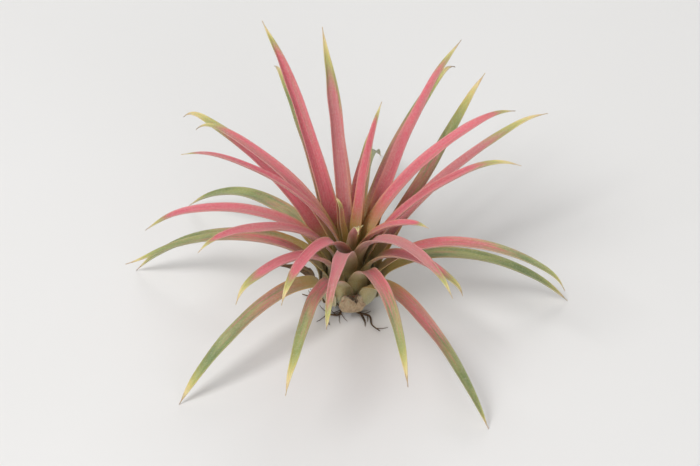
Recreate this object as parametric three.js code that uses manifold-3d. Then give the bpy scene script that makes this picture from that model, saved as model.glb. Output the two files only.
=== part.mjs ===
// A sky plant: an air plant whose narrow channelled leaves spiral out of a short hidden stem.
// The leaf bases wrap round one another into a small bulb, and the blades arch out of it like a fountain.
// Millimetres, +Z up. The origin is the middle of the stem's cut end, which rests on the surface.
import * as THREE from "three";
import { mergeVertices } from "three/addons/utils/BufferGeometryUtils.js";
import Module from "manifold-3d";

const wasm = await Module();
wasm.setup();

// The rosette. A pair gives the youngest leaf's value and the oldest living leaf's.
// Leans are in degrees from upright.
const LEAVES = 36; // living leaves, counted from the heart outwards
const DRY_LEAVES = 3; // withered stubs of still older leaves, next on the same spiral
const RESTING_LEAVES = 6; // the oldest living leaves, whose tips touch the surface
const GOLDEN_ANGLE = 137.508; // turn from one leaf to the next, degrees
const FIRST_AZIMUTH = 3.5; // of the youngest leaf, degrees from +X towards +Y
const SEAT_LEAN = [6, 97]; // where a leaf sits on the stem's round head
const NECK_LEAN = [4, 45]; // where its blade leaves the bulb
const NECK_RADIUS = [1.7, 14];
const NECK_HEIGHT = [26, 17];
const BLADE_LEAN = [14, 88]; // of the line from the bulb to the tip
const TURN_POWER = [0.55, 1.2]; // below 1 a blade turns mostly near the bulb, above 1 near its tip
const REST_POWER = 0.6; // the same, for the resting leaves
const REST_LEAN = [60, 130]; // between these a resting leaf's lean is found
const TILT = 14; // how far the crown nods towards -Y, degrees

// One leaf
const BLADE_LENGTH = 82; // of a grown leaf, beyond the bulb
const GROWN = [-2, 7]; // places on the spiral between which a leaf grows to its full size
const OLD_SHARE = 0.86; // of that length, for the oldest living leaf
const BLADE_WIDTH = 6.9;
const YOUNG_SHARE = 0.3; // of that width, for a leaf just begun
const BLADE_THICKNESS = 1.1; // along the middle
const SHEATH_WIDTH = 11; // the part inside the bulb, of a grown leaf
const HEART_SHARE = 0.4; // of that width, for the youngest leaf
const SHEATH_THICKNESS = 0.6;
const NARROWING = 0.75; // the last share of the sheath, over which it narrows to the blade
const CHANNEL_START = 0.3; // the share of the blade over which the sheath's form becomes the blade's
const LEAST_BEND = 0.02; // of a sheath's section, per millimetre
const SHEATH_PULL = 0.42; // how far the sheath keeps its direction at each end, as a share of its chord
const EDGE_THICKNESS = 0.6;
const TAPER = 0.38; // the blade's width grows as this power of the distance from its tip
const POINT = 0.07; // the share of the blade over which its tip sharpens
const TIP_WIDTH = 0.7;
const TIP_HEIGHT = 0.3; // of a resting tip's middle above the surface
const CHANNEL = [0.6, 1]; // half the angle that a blade's section bends through, neck and tip, radians
const REACH_ROUND = [0.66, 0.41]; // of a leaf round the axis to each side, heart and outside, radians
const SEAT_SHARE = 0.62; // of the sheath's width, at its seat
const DRY_LENGTH = 11;
const DRY_WIDTH = 5.4;
const DRY_DROOP = 12; // of a withered stub beyond its neck's lean, degrees

// How much the leaves differ: largest change in degrees, or smallest and largest share
const LEAN_SPREAD = 4;
const BEND_SPREAD = 3; // sideways
const TWIST_SPREAD = 14;
const HOOK_SPREAD = 50; // at the tip
const HOOK_START = 0.72; // the share of the blade before its hook
const SEEN_HOOK = 0.4; // the share of its drawn hook that a clearly seen leaf has
const LENGTH_SPREAD = [0.92, 1.04];
const WIDTH_SPREAD = [0.94, 1.06];

// The stem and its roots
const FOOT_RADIUS = 4.2; // the flat cut end
const HEAD_RADIUS = 6.5; // the round head that the leaves grow from
const HEAD_HEIGHT = 4.6; // of the head's centre
const UNDERCUT = 115; // from the head's top to where its underside starts, degrees
const SEAT_GAP = 0.3; // between the head and each leaf
const ROOTS = 5;
const ROOT_RADIUS = 0.5;
const ROOT_REACH = [13, 20];
const ROOT_START = [2.2, 1.3]; // inside the foot: out and up
const ROOT_WANDER = 4.5; // sideways, at its end
const ROOT_TURN = 0.25; // either way from its even place, as a share of the turn between roots
const ROOT_DESCENT = 0.4; // the share of a root over which it comes down to the surface
const ROOT_CLEARANCE = 1.05; // of a root's middle above the surface, in radii
const ROOT_TAPER = 0.6; // a root's radius at its end, as a share of its radius at the foot

// How finely each shape is divided: stations along a leaf, places across it, sides round a stem
const SHEATH_STEPS = 6;
const BLADE_STEPS = 14;
const ACROSS = [-1, -0.38, 0.38, 1];
const SUBSTEPS = 8; // for adding up the blade's line between stations
const CROWDING = 1.2; // above 1 the stations crowd towards the tip
const HALVINGS = 30; // in finding a resting leaf's lean
const MERGED = 1e-4; // corners closer than this are one
const STEM_SIDES = 24;
const STEM_STEPS = 10;
const ROOT_SIDES = 6;
const ROOT_STEPS = 12;

// The leaves that the photograph shows clearly, by their place on the spiral: degrees and millimetres
const SEEN = {
  3: { lean: 16, length: 54, width: 5.2 },
  4: { lean: 43, length: 77, bend: -3 },
  5: { lean: 45, length: 38 },
  6: { lean: 17, length: 79, bend: 1 },
  7: { lean: 61, length: 65 },
  8: { lean: 50, length: 75 },
  9: { lean: 48, length: 70 },
  10: { lean: 57, length: 77 },
  11: { lean: 28, length: 42, bend: -3 },
  12: { lean: 56, length: 68 },
  13: { lean: 42, length: 74 },
  14: { lean: 24, length: 84, bend: 1 },
  16: { lean: 29, length: 80, width: 7.4, bend: -1 },
  17: { lean: 75, length: 72 },
  18: { lean: 70, length: 50 },
  19: { lean: 38, length: 68, bend: 3 },
  20: { lean: 59, length: 69, bend: 3 },
  21: { lean: 46, length: 80 },
  24: { lean: 58, length: 74, bend: -5 },
  27: { lean: 62, length: 72, bend: -6 },
  29: { lean: 37, length: 71, width: 7.4, bend: 4 },
};

const DEGREE = Math.PI / 180;
const mix = (from, to, share) => from + (to - from) * share;
const clamp = (x, low, high) => Math.min(high, Math.max(low, x));
const smooth = (x) => x * x * (3 - 2 * x);
const ramp = (x, start, end) => smooth(clamp((x - start) / (end - start), 0, 1));

// A run of even draws between 0 and 1, the same each time for the same seed
function draws(seed) {
  let state = seed;
  const draw = () => {
    state = (state * 1664525 + 1013904223) % 4294967296;
    return state / 4294967296;
  };
  for (let skip = 0; skip < 4; skip++) draw();
  return draw;
}

// What sets a leaf's form, from its place on the spiral. age runs from 0 at the heart to 1.
function leafPlan(index) {
  const draw = draws(977 + 131 * index);
  const age = index / (LEAVES - 1);
  const azimuth = (FIRST_AZIMUTH + GOLDEN_ANGLE * index) % 360;
  const grown = ramp(index, ...GROWN);
  const nod = -TILT * Math.sin(azimuth * DEGREE) * (1 - age ** 3);
  const seen = SEEN[index] ?? {};
  const plan = {
    age,
    azimuth,
    seatLean: mix(...SEAT_LEAN, age),
    neckLean: mix(...NECK_LEAN, age ** 1.1),
    neckRadius: mix(...NECK_RADIUS, age),
    neckHeight: mix(...NECK_HEIGHT, age),
    power: mix(...TURN_POWER, age),
    lean: mix(...BLADE_LEAN, age ** 0.9) + nod + mix(-LEAN_SPREAD, LEAN_SPREAD, draw()),
    length: BLADE_LENGTH * grown * mix(1, OLD_SHARE, age ** 2) * mix(...LENGTH_SPREAD, draw()),
    width: BLADE_WIDTH * mix(YOUNG_SHARE, 1, grown) * mix(...WIDTH_SPREAD, draw()),
    hook: HOOK_SPREAD * draw() ** 2,
    bend: mix(-BEND_SPREAD, BEND_SPREAD, draw()),
    twist: mix(-TWIST_SPREAD, TWIST_SPREAD, draw()),
    ...seen,
  };
  if (index in SEEN) {
    plan.bend = seen.bend ?? 0;
    plan.hook *= SEEN_HOOK;
  }
  if (index >= LEAVES - RESTING_LEAVES) rest(plan);
  return plan;
}

// A withered stub: the last bit of sheath and a short torn blade
function dryPlan(index) {
  const plan = leafPlan(index);
  const lean = plan.neckLean + DRY_DROOP;
  return { ...plan, lean, length: DRY_LENGTH, width: DRY_WIDTH, hook: HOOK_SPREAD / 2 };
}

// Lowers an old leaf until its tip touches the surface
function rest(plan) {
  plan.hook = 0;
  plan.power = REST_POWER;
  const range = [...REST_LEAN];
  for (let halving = 0; halving < HALVINGS; halving++) {
    plan.lean = (range[0] + range[1]) / 2;
    const high = bladeLine(plan, BLADE_STEPS).at(-1).up > TIP_HEIGHT;
    range[high ? 0 : 1] = plan.lean;
  }
}

// The leaf's middle line in its own upright plane: out from the axis, up, and its lean in radians.
// along runs from -1 at the seat through 0 at the neck to 1 at the tip.
function sheathLine(plan, steps) {
  const seat = HEAD_RADIUS + SEAT_GAP;
  const seatLean = plan.seatLean * DEGREE;
  const neckLean = plan.neckLean * DEGREE;
  const foot = new THREE.Vector2(seat * Math.sin(seatLean), HEAD_HEIGHT + seat * Math.cos(seatLean));
  const neck = new THREE.Vector2(plan.neckRadius, plan.neckHeight);
  const pull = SHEATH_PULL * foot.distanceTo(neck);
  const direction = (lean) => new THREE.Vector2(Math.sin(lean), Math.cos(lean));
  const leave = direction(seatLean).multiplyScalar(pull).add(foot);
  const arrive = direction(neckLean).multiplyScalar(-pull).add(neck);
  const curve = new THREE.CubicBezierCurve(foot, leave, arrive, neck);
  return Array.from({ length: steps }, (_, step) => {
    const point = curve.getPoint(step / steps);
    const tangent = curve.getTangent(step / steps);
    return { out: point.x, up: point.y, lean: Math.atan2(tangent.x, tangent.y), along: step / steps - 1 };
  });
}

function bladeLine(plan, steps) {
  const turn = (plan.lean - plan.neckLean) * (plan.power + 1);
  const hookAt = (u) => plan.hook * ramp(u, HOOK_START, 1);
  const leanAt = (u) => (plan.neckLean + turn * u ** plan.power + hookAt(u)) * DEGREE;
  const along = (step) => 1 - (1 - step / steps) ** CROWDING;
  const line = [];
  let out = plan.neckRadius;
  let up = plan.neckHeight;
  for (let step = 0; step <= steps; step++) {
    const here = along(step);
    line.push({ out, up, lean: leanAt(here), along: here });
    const stride = step < steps ? (along(step + 1) - here) / SUBSTEPS : 0;
    for (let part = 0; part < SUBSTEPS; part++) {
      const lean = leanAt(here + (part + 0.5) * stride);
      out += plan.length * stride * Math.sin(lean);
      up += plan.length * stride * Math.cos(lean);
    }
  }
  return line;
}

function halfWidth(plan, { along, out }) {
  const toTip = Math.max(1 - along, 0);
  const round = mix(...REACH_ROUND, ramp(plan.age, 0, 0.5));
  if (along >= 0) {
    const blade = (plan.width / 2) * toTip ** TAPER * (1 - Math.exp(-toTip / POINT));
    return Math.max(Math.min(blade, out * round), TIP_WIDTH / 2);
  }
  const sheath = (SHEATH_WIDTH / 2) * mix(HEART_SHARE, 1, Math.min(plan.age, 1) ** 0.6);
  const narrowed = mix(SEAT_SHARE, 1, ramp(along, -1, -0.5));
  return Math.min(mix(sheath, plan.width / 2, ramp(along, -NARROWING, 0)), out * round) * narrowed;
}

// How sharply the leaf bends across: round the bulb in its sheath, and in a channel along its blade
function crossCurvature({ along, out, lean }, half) {
  const roundBulb = Math.max(Math.cos(lean) / Math.max(out, 1), LEAST_BEND);
  const channel = mix(...CHANNEL, Math.max(along, 0)) / half;
  return mix(roundBulb, channel, ramp(along, 0, CHANNEL_START));
}

function thickness(along, place) {
  const taper = mix(BLADE_THICKNESS, EDGE_THICKNESS, Math.max(along, 0) ** 2);
  const middle = mix(SHEATH_THICKNESS, taper, ramp(along, 0, CHANNEL_START));
  return mix(middle, Math.min(middle, EDGE_THICKNESS), place * place);
}

// A leaf's cross-sections, from its seat to its tip, each round from the upper face to the lower
function leafRings(plan) {
  const azimuth = plan.azimuth * DEGREE;
  const outward = new THREE.Vector3(Math.cos(azimuth), Math.sin(azimuth), 0);
  const sideways = new THREE.Vector3(-Math.sin(azimuth), Math.cos(azimuth), 0);
  const drift = Math.tan(plan.bend * DEGREE);
  const line = [...sheathLine(plan, SHEATH_STEPS), ...bladeLine(plan, BLADE_STEPS)];
  return line.map((station) => {
    const blade = Math.max(station.along, 0);
    const middle = outward.clone().multiplyScalar(station.out).setZ(station.up);
    middle.addScaledVector(sideways, drift * plan.length * blade ** 2);
    const ahead = outward.clone().multiplyScalar(Math.sin(station.lean)).setZ(Math.cos(station.lean));
    ahead.addScaledVector(sideways, 2 * drift * blade).normalize();
    const across = sideways.clone().addScaledVector(ahead, -sideways.dot(ahead)).normalize();
    across.applyAxisAngle(ahead, plan.twist * DEGREE * blade);
    const upper = new THREE.Vector3().crossVectors(ahead, across);
    const half = halfWidth(plan, station);
    const bent = crossCurvature(station, half);
    const point = (place, side) => {
      const angle = place * half * bent;
      const normal = upper.clone().multiplyScalar(Math.cos(angle));
      normal.addScaledVector(across, -Math.sin(angle));
      return middle
        .clone()
        .addScaledVector(across, Math.sin(angle) / bent)
        .addScaledVector(upper, (1 - Math.cos(angle)) / bent)
        .addScaledVector(normal, (side * thickness(station.along, place)) / 2);
    };
    const back = [...ACROSS].reverse();
    return [...ACROSS.map((place) => point(place, 1)), ...back.map((place) => point(place, -1))];
  });
}

// A closed solid through rings of points, each half of which is one face of the leaf.
// Both faces are split into triangles alike.
function loft(rings) {
  const size = rings[0].length;
  const wide = size / 2;
  const faces = [];
  const quad = (a, b, c, d, rising) => {
    if (rising) faces.push(a, c, b, a, d, c);
    else faces.push(a, d, b, b, d, c);
  };
  const leftOfMiddle = (k) => k < (wide - 1) / 2;
  for (let near = 0; near + size < rings.length * size; near += size) {
    const far = near + size;
    for (let k = 0; k < size; k++) {
      const next = (k + 1) % size;
      const rising = k < wide ? leftOfMiddle(k) : !leftOfMiddle(size - 2 - k);
      quad(near + k, near + next, far + next, far + k, rising);
    }
  }
  const last = (rings.length - 1) * size;
  for (let k = 0; k + 1 < wide; k++) {
    quad(k, size - 1 - k, size - 2 - k, k + 1, true);
    quad(last + k, last + k + 1, last + size - 2 - k, last + size - 1 - k, true);
  }
  const geometry = new THREE.BufferGeometry();
  const positions = rings.flat().flatMap((point) => [point.x, point.y, point.z]);
  geometry.setAttribute("position", new THREE.Float32BufferAttribute(positions, 3));
  geometry.setIndex(faces);
  return geometry;
}

// The short stem: a flat cut foot that swells into the round head
function stemGeometry() {
  const profile = [new THREE.Vector2(0, 0), new THREE.Vector2(FOOT_RADIUS, 0)];
  for (let step = 0; step < STEM_STEPS; step++) {
    const lean = mix(UNDERCUT, 0, step / STEM_STEPS) * DEGREE;
    const height = HEAD_HEIGHT + HEAD_RADIUS * Math.cos(lean);
    profile.push(new THREE.Vector2(HEAD_RADIUS * Math.sin(lean), height));
  }
  profile.push(new THREE.Vector2(0, HEAD_HEIGHT + HEAD_RADIUS));
  return new THREE.LatheGeometry(profile, STEM_SIDES).rotateX(Math.PI / 2);
}

// A wiry root that leaves the foot of the stem and wanders out along the surface
function rootGeometry(number) {
  const draw = draws(4001 + 57 * number);
  const azimuth = ((number + mix(-ROOT_TURN, ROOT_TURN, draw())) * 2 * Math.PI) / ROOTS;
  const outward = new THREE.Vector3(Math.cos(azimuth), Math.sin(azimuth), 0);
  const sideways = new THREE.Vector3(-Math.sin(azimuth), Math.cos(azimuth), 0);
  const reach = mix(...ROOT_REACH, draw());
  const knots = [0, 0.25, 0.5, 0.75, 1].map((along) => {
    const wander = along * mix(-ROOT_WANDER, ROOT_WANDER, draw());
    return outward
      .clone()
      .multiplyScalar(mix(ROOT_START[0], reach, along))
      .addScaledVector(sideways, wander)
      .setZ(mix(ROOT_START[1], ROOT_RADIUS * ROOT_CLEARANCE, ramp(along, 0, ROOT_DESCENT)));
  });
  const path = new THREE.CatmullRomCurve3(knots);
  const rings = Array.from({ length: ROOT_STEPS + 1 }, (_, step) => {
    const along = step / ROOT_STEPS;
    const ahead = path.getTangent(along);
    const across = new THREE.Vector3(0, 0, 1).cross(ahead).normalize();
    const upper = new THREE.Vector3().crossVectors(ahead, across);
    const radius = ROOT_RADIUS * mix(1, ROOT_TAPER, along);
    return Array.from({ length: ROOT_SIDES }, (_, side) => {
      const angle = Math.PI - ((side + 0.5) * 2 * Math.PI) / ROOT_SIDES;
      return path
        .getPoint(along)
        .addScaledVector(across, radius * Math.cos(angle))
        .addScaledVector(upper, radius * Math.sin(angle));
    });
  });
  return loft(rings);
}

function toSolid(geometry) {
  const bare = new THREE.BufferGeometry();
  bare.setAttribute("position", geometry.getAttribute("position"));
  bare.setIndex(geometry.getIndex());
  const { attributes, index } = mergeVertices(bare, MERGED);
  const vertProperties = attributes.position.array;
  const triVerts = new Uint32Array(index.array);
  return new wasm.Manifold(new wasm.Mesh({ numProp: 3, vertProperties, triVerts }));
}

function toGeometry(solid) {
  const mesh = solid.getMesh();
  const geometry = new THREE.BufferGeometry();
  geometry.setAttribute("position", new THREE.BufferAttribute(new Float32Array(mesh.vertProperties), 3));
  geometry.setIndex(new THREE.BufferAttribute(new Uint32Array(mesh.triVerts), 1));
  return geometry;
}

function rootstockGeometry() {
  const roots = Array.from({ length: ROOTS }, (_, number) => toSolid(rootGeometry(number)));
  return toGeometry(wasm.Manifold.union([toSolid(stemGeometry()), ...roots]));
}

const plain = (color) => new THREE.MeshStandardMaterial({ color, roughness: 0.75, flatShading: true });
const youngLeaf = plain(0xc76a72);
const oldLeaf = plain(0x7f8a55);
const dryLeaf = plain(0x8a6f4e);
const bark = plain(0x5d4a36);

const plant = new THREE.Group();
plant.name = "sky_plant";

function addPiece(name, geometry, material) {
  geometry.computeVertexNormals();
  const piece = new THREE.Mesh(geometry, material);
  piece.name = name;
  plant.add(piece);
}

for (let index = 0; index < LEAVES; index++) {
  const material = index < LEAVES - RESTING_LEAVES ? youngLeaf : oldLeaf;
  addPiece("leaf_" + String(index + 1).padStart(2, "0"), loft(leafRings(leafPlan(index))), material);
}
for (let number = 0; number < DRY_LEAVES; number++) {
  addPiece("dry_leaf_" + (number + 1), loft(leafRings(dryPlan(LEAVES + number))), dryLeaf);
}
addPiece("rootstock", rootstockGeometry(), bark);

export default plant;
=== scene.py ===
import math
from types import SimpleNamespace

import bpy
import numpy as np
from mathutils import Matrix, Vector, noise


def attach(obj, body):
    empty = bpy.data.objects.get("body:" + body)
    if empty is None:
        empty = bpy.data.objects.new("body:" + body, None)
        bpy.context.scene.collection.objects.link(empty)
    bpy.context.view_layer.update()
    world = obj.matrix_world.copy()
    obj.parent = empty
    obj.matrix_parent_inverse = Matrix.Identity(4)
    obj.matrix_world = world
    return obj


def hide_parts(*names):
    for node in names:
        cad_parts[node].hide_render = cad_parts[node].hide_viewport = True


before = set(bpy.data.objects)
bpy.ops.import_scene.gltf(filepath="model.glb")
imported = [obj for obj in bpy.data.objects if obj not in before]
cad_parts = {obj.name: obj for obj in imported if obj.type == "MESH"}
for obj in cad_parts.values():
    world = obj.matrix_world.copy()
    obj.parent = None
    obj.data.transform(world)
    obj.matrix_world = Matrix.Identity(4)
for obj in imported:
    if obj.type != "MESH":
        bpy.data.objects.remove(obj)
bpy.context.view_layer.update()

# The looks of the sky plant. The leaves follow the solids' own formulas, in millimetres and degrees
# from upright, with many more stations, thin rounded edges, veins and curled tips.
MM = 0.001  # in metres

# The rosette. A pair gives the youngest leaf's value and the oldest living leaf's.
LEAVES = sum(node.startswith("leaf_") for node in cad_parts)  # living, counted from the heart
DRY_LEAVES = sum(node.startswith("dry_leaf_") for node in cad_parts)  # next on the same spiral
RESTING_LEAVES = 6  # the oldest living leaves, whose tips touch the surface
GOLDEN_ANGLE = 137.508  # turn from one leaf to the next
FIRST_AZIMUTH = 3.5  # of the youngest leaf, from +X towards +Y
SEAT_LEAN = (6, 97)  # where a leaf sits on the stem's round head
NECK_LEAN = (4, 45)  # where its blade leaves the bulb
NECK_RADIUS = (1.7, 14)
NECK_HEIGHT = (26, 17)
BLADE_LEAN = (14, 88)  # of the line from the bulb to the tip
TURN_POWER = (0.55, 1.2)  # below 1 a blade turns mostly near the bulb, above 1 near its tip
REST_POWER = 0.6  # the same, for the resting leaves
REST_LEAN = (60, 130)  # between these a resting leaf's lean is found
HALVINGS = 30  # in finding it
TILT = 14  # how far the crown nods towards -Y

# One leaf's length and width
BLADE_LENGTH = 82  # of a grown leaf, beyond the bulb
OLD_SHARE = 0.86  # of that length, for the oldest living leaf
GROWN = (-2, 7)  # places on the spiral between which a leaf grows to its full size
BLADE_WIDTH = 6.9
YOUNG_SHARE = 0.3  # of that width, for a leaf just begun
TAPER = 0.38  # the blade's width grows as this power of the distance from its tip
POINT = 0.07  # the share of the blade over which its tip sharpens
TIP_WIDTH = 0.28
TIP_HEIGHT = 0.3  # of a resting tip's middle above the surface
SHEATH_WIDTH = 11  # the part inside the bulb, of a grown leaf
HEART_SHARE = 0.4  # of that width, for the youngest leaf
SEAT_SHARE = 0.62  # of that width, at the seat
SEAT_END = -0.5  # how far along, from -1 at the seat, it has all of that width
NARROWING = 0.75  # the last share of the sheath, over which it narrows to the blade
SHEATH_PULL = 0.42  # how far the sheath keeps its direction at each end, as a share of its chord
REACH_ROUND = (0.66, 0.41)  # of a leaf round the axis to each side, heart and outside, radians
HEART_AGE = 0.5  # by which the first of these has turned into the second

# Its cross-section
BLADE_THICKNESS = 1.1  # along the middle
TIP_THICKNESS = 0.42  # the same, at the tip
THINNING = 1.6  # above 1 it falls from one to the other mostly near the tip
POINT_START = 0.9  # how far along the blade it starts to thin to its point
POINT_SHARE = 0.55  # of the thickness, at the point
SHEATH_THICKNESS = 0.6
EDGE_THICKNESS = 0.3
EDGE_POWER = 1.5  # above 1 the leaf thins to its edges mostly near them
ROUND_SHARE = 0.45  # of half the width, the most that a rounded edge takes
LEAST_BEND = 0.02  # of a sheath's section, per millimetre
CHANNEL_START = 0.3  # the share of the blade over which the sheath's form becomes the blade's
CHANNEL = (0.85, 1.05)  # radians from middle to edge, at neck and tip; a little more than in the solids
CHANNEL_HALF = 0.3  # the half width below which the channel bends no tighter
VEINS = 6  # from edge to edge, as ridges
VEIN_HEIGHT = 0.045
VEIN_START = (0.05, 0.2)  # how far along the blade they rise
VEIN_END = (0.02, 0.12)  # how far from its tip they fade
VEIN_FADE = 6  # above 1 they fade to the edges mostly near them
PAINTED_VEINS = 11.0  # radians of their wave in a millimetre across the leaf

# How much the leaves differ: the largest change, or the smallest and largest share
LEAN_SPREAD = 4
BEND_SPREAD = 3  # sideways
TWIST_SPREAD = 14
HOOK_SPREAD = 50  # at the tip
HOOK_START = 0.72  # the share of the blade before its hook
SEEN_HOOK = 0.4  # the share of its drawn hook and sway that a clearly seen leaf has
LENGTH_SPREAD = (0.92, 1.04)
WIDTH_SPREAD = (0.94, 1.06)
CURL = (-25, 105)  # extra turn of a tip
CURL_ALONG = (0.86, 1.02)  # how far along the blade it turns
CURLED = (0, 8)  # places on the spiral between which leaves come to curl
SWAY = 4  # sideways swing of a tip

# How a blade wanders, once it is clear of its neighbours. Swings are for each blade or millimetre.
FREE = (0.25, 0.55)  # how far along a blade it comes clear
WANDER = 0.9  # sideways
WANDER_SWINGS = 2.5
TWIST_WANDER = 9
TWIST_SWINGS = 3
WIDTH_WANDER = 0.05  # share of the width
WIDTH_SWINGS = 4
EDGE_WAVES = 0.45  # rise and fall of each edge
EDGE_SWINGS = 0.09  # in a millimetre
WAVED_HALF = (0.5, 2)  # half widths between which the edges come to wave

# The dry stubs. Each is torn from edge to edge into strips, and crumpled.
DRY_LENGTH = 11
DRY_WIDTH = 5.4
DRY_DROOP = 12  # beyond the neck's lean
DRY_SHARE = 0.35  # of a living leaf's thickness
TORN = 0.42  # the share of its length that a stub loses where a tear is deepest
TEARS = 3.1  # radians of their wave across half its width
TEAR_SPACING = 1.7  # radians of it from one stub to the next
TEAR_POWER = 1.5  # above 1 the strips are wider than the tears
RAGGED = 0.08  # share of its length
RAGS = 9  # across half its width
CRUMPLE = 0.5  # the most that the creases move the skin along each axis
CRUMPLED = (4, 14)  # how far from the seat the creases start and are full
CREASES = 0.55  # in a millimetre

# The stem
FOOT_RADIUS = 4.2  # the flat cut end
FOOT_RINGS = (0.3, 0.6, 0.85, 0.97, 1)  # on it, as shares of its radius
HEAD_RADIUS = 6.5  # the round head that the leaves grow from
HEAD_HEIGHT = 4.6  # of the head's centre
UNDERCUT = 115  # from the head's top to where its underside starts
TOP_RING = 1  # from the head's top to its last ring
AXIS_RADIUS = 0.02  # of the smallest rings, round the axis
SEAT_GAP = 0.3  # between the head and each leaf
CUT_EDGE = (0.2, 1.2)  # heights between which the skin's pits and scars come in
PIT_DEPTH = 0.22
PITS_ROUND = 3  # how fast they change round the stem
PITS_UP = 0.9  # and up it, in a millimetre
SCAR_DEPTH = 0.08
SCARS_UP = 4.2  # radians of their wave in a millimetre
SCAR_SWING = 2  # the same, as the scars rise and fall round the stem
SCAR_LOBES = 3

# Its roots, and the thinner twigs on them
ROOTS = 5
ROOT_RADIUS = 0.5
ROOT_TAPER = 0.35  # a root's radius at its end, as a share of its radius at the foot
ROOT_REACH = (13, 20)
ROOT_START = (2.2, 1.3)  # inside the foot: out and up
ROOT_KNOTS = (0, 0.25, 0.5, 0.75, 1)
ROOT_WANDER = 4.5  # sideways, at its end
ROOT_TURN = 0.25  # either way from its even place, as a share of the turn between roots
ROOT_DESCENT = 0.4  # the share of a root over which it comes down to the surface
ROOT_CLEARANCE = 1.05  # of a root's middle above the surface, in radii
ROOT_ROUGHNESS = 0.12  # share of the radius
ROOT_KNOBS = (0.6, 1.3)  # how fast it changes from ring to ring, and from side to side
TWIGS = 7  # on each root
TWIG_RADIUS = 0.16
TWIG_TAPER = 0.5
TWIG_LENGTH = (2, 5)
TWIG_PLACES = (14, 56)  # steps along the root between which they grow
TWIG_HEADING = 3  # steps further on that give the root's direction there
TWIG_SLANT = 0.7  # how far a twig leans along its root for each millimetre out
TWIG_SWAY = 0.12  # the same, as it swings
TWIG_SWING = 3  # radians of that swing over its length
TWIG_JOLT = 0.6  # and the most that they jump by at a step

# How finely each shape is divided: steps along it, places across a leaf, sides round a stem
SHEATH_STEPS = 16
BLADE_STEPS = 76
SUBSTEPS = 3  # for adding up the blade's line between stations
CROWDING = 1.2  # above 1 the stations crowd towards the tip
PLACES = 25  # from edge to edge of each face
RIM = 3  # round each edge
STEM_STEPS = 40
STEM_SIDES = 64
ROOT_STEPS = 60
ROOT_SIDES = 10
TWIG_STEPS = 12
TWIG_SIDES = 6

# The silvery scales that stand off a full-length blade, each a spike with four corners
SCALES = 1100
SCALE_LENGTH = (0.16, 0.34)
SCALE_WIDTH = 0.11
SCALE_ROOT = 0.04  # how deep its three lower corners lie under the skin
SCALE_LIFT = (0.25, 0.7)  # how far it stands off the skin, for each part that it points to the tip
SCALE_SWAY = 0.5  # the same, to either side
SCALE_FACES = ((0, 2, 1), (0, 3, 2), (2, 3, 1), (1, 3, 0))
EDGE_SCALES = 0.3  # the share of them that stands on the edges
BARE_STEPS = 12  # past the neck, without any

# Seeds of the draws: the first, and the step from one leaf or root to the next
FORM_SEEDS = (977, 131)  # as in the solids
ROOT_SEEDS = (4001, 57)  # as in the solids
LOOK_SEEDS = (5101, 97)
TWIG_SEEDS = (6007, 71)
SCALE_SEEDS = (8009, 61)
CREASE_SEED = 9011  # of the vector noise that creases the stubs; unseeded, it would follow the clock

# Which noise a leaf takes for what, and how far apart the noises lie
SWAYING, TWISTING, WIDENING, LEFT_WAVES, RIGHT_WAVES = range(1, 6)
NOISE_SPACING = 7.31
NOISE_ROW = 0.37
LEAVES_APART = 10  # the most that a draw moves a leaf's noises on
STUBS_APART = 0.5  # how far a stub's are moved on

# The leaves that the photograph shows clearly, by their place on the spiral. tip is the pale share of
# the blade, green and mauve how far the leaf's colour goes that way.
SEEN = {
    3: dict(lean=16, length=54, width=5.2, curl=10, tip=0.11, mauve=0.2),
    4: dict(lean=43, length=77, bend=-3, curl=15, tip=0.05, mauve=0),
    5: dict(lean=45, length=38, curl=20),
    6: dict(lean=17, length=79, bend=1, curl=-8, tip=0.22, mauve=0.9),
    7: dict(lean=61, length=65, curl=30, tip=0.16, mauve=0),
    8: dict(lean=50, length=75, curl=20, tip=0.09, mauve=0),
    9: dict(lean=48, length=70, curl=60),
    10: dict(lean=57, length=77, curl=35, tip=0.11),
    11: dict(lean=28, length=42, bend=-3, curl=10, mauve=0.5),
    12: dict(lean=56, length=68, curl=30, tip=0.09),
    13: dict(lean=42, length=74, curl=25, tip=0.18, mauve=0.1),
    14: dict(lean=24, length=84, bend=1, curl=-12, tip=0.12, mauve=0.2),
    16: dict(lean=29, length=80, width=7.4, bend=-1, curl=-6, tip=0.13, mauve=0.2),
    17: dict(lean=75, length=72, curl=-10, tip=0.11, green=0, mauve=0.2),
    18: dict(lean=70, length=50, curl=60),
    19: dict(lean=38, length=68, bend=3, curl=15, tip=0.2, green=0.4),
    20: dict(lean=59, length=69, bend=3, curl=60, tip=0.18, green=0.1),
    21: dict(lean=46, length=80, curl=25, tip=0.24, green=0.15, mauve=0.9),
    24: dict(lean=58, length=74, bend=-5, curl=50, tip=0.26, green=0.55, mauve=0.8),
    27: dict(lean=62, length=72, bend=-6, curl=40, tip=0.27, green=0.6),
    29: dict(lean=37, length=71, width=7.4, bend=4, curl=10, tip=0.28, green=0.6, mauve=0.7),
}

# How green a leaf usually is, and how much of it is its pale tip
GREEN = (-0.3, 0.85)
GREEN_POWER = 1.3  # above 1 mostly the outer leaves turn green
GREEN_SPREAD = 0.15
PALE_TIP = (0.08, 0.26)

# How far apart the patterns of two leaves lie, of a leaf's two faces, and of its streaks and bands
LEAF_PATTERNS = 40
FACE_PATTERNS = 2
BAND_PATTERNS = 9

# Where a living leaf's colours change, in millimetres from its neck
SEAT_TO_SHEATH = (-22, -12)
SHEATH_TO_OLIVE = (-12, -2)
PALE_MARGIN_END = (-6, 0)
OLIVE_END = (10, 26)  # on the leaf with the least and the one with the most
RED_TO_PINK = (2, 24)
GOLD_TO_PALE_EDGE = (8, 40)
THICK_BLOOM_END = (-14, 2)

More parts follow.
